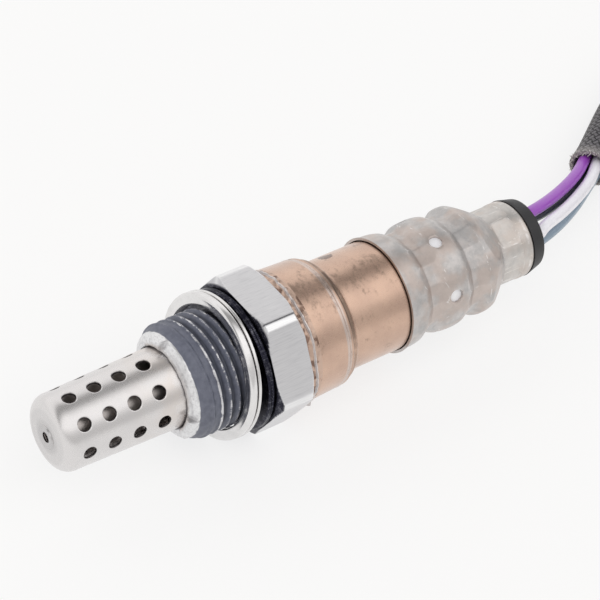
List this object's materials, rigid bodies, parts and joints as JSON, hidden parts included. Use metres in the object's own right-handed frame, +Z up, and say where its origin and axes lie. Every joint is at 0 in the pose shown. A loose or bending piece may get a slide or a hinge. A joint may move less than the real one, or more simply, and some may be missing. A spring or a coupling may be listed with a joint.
{
  "type": "oxygen sensor",
  "caption": "Exhaust oxygen sensor with perforated shield, threaded housing with hexagon and gasket, crimped vented cover, wires and a coiled braided lead with connector.",
  "frame": {"origin": "on the surface the sensor lies on, under the middle of its length from the shield's tip to the grommet's end, in the plane of its axis; the lead is not counted", "axes": "+X along the sensor's axis from the shield's tip towards the lead, +Z up, square to the hexagon flat that the sensor lies on"},
  "size_m": [0.209, 0.0796, 0.0224],
  "materials": {
    "shield_steel": "satin stainless sheet",
    "inner_steel": "plain stainless sheet",
    "housing_steel": "turned and milled stainless steel, with slate-coloured assembly paste on the thread",
    "gasket_steel": "bright folded sheet",
    "bead_steel": "rough weld bead with brown heat tint",
    "sleeve_steel": "satin sheet with bronze heat tint and dark smudges",
    "cover_steel": "warm grey satin sheet with faint stains",
    "membrane": "white porous tube",
    "ceramic": "fired ceramic",
    "talc": "packed powder",
    "contact_metal": "plated strip",
    "grommet_rubber": "black moulded rubber",
    "wire_purple": "smooth insulation",
    "wire_white": "smooth insulation",
    "wire_blue_grey": "smooth insulation",
    "wire_black": "smooth insulation",
    "braid": "charcoal woven sleeve with a frayed, paler end",
    "connector_plastic": "moulded plastic",
    "lock_plastic": "moulded plastic",
    "seal_rubber": "silicone rubber"
  },
  "bodies": {
    "root": {"outer_shield": "shield_steel", "inner_shield": "inner_steel", "housing": "housing_steel", "gasket": "gasket_steel", "weld_bead": "bead_steel", "protective_sleeve": "sleeve_steel", "cover_shell": "cover_steel", "vent_membrane": "membrane", "grommet": "grommet_rubber", "sensing_element": "ceramic", "front_insulator": "ceramic", "talc_packing": "talc", "rear_insulator": "ceramic", "packing_ring": "inner_steel", "contact_holder": "ceramic", "holder_ring": "inner_steel", "contact_clip_1": "contact_metal", "contact_clip_2": "contact_metal", "contact_clip_3": "contact_metal", "contact_clip_4": "contact_metal", "wire_purple": "wire_purple", "wire_white": "wire_white", "wire_blue_grey": "wire_blue_grey", "wire_black": "wire_black", "braided_sleeve": "braid", "sleeve_coil": "braid", "tail_purple": "wire_purple", "tail_white": "wire_white", "tail_blue_grey": "wire_blue_grey", "tail_black": "wire_black", "connector_housing": "connector_plastic", "terminal_lock": "lock_plastic", "rear_seal": "seal_rubber", "terminal_1": "contact_metal", "terminal_2": "contact_metal", "terminal_3": "contact_metal", "terminal_4": "contact_metal"}
  },
  "joints": []
}
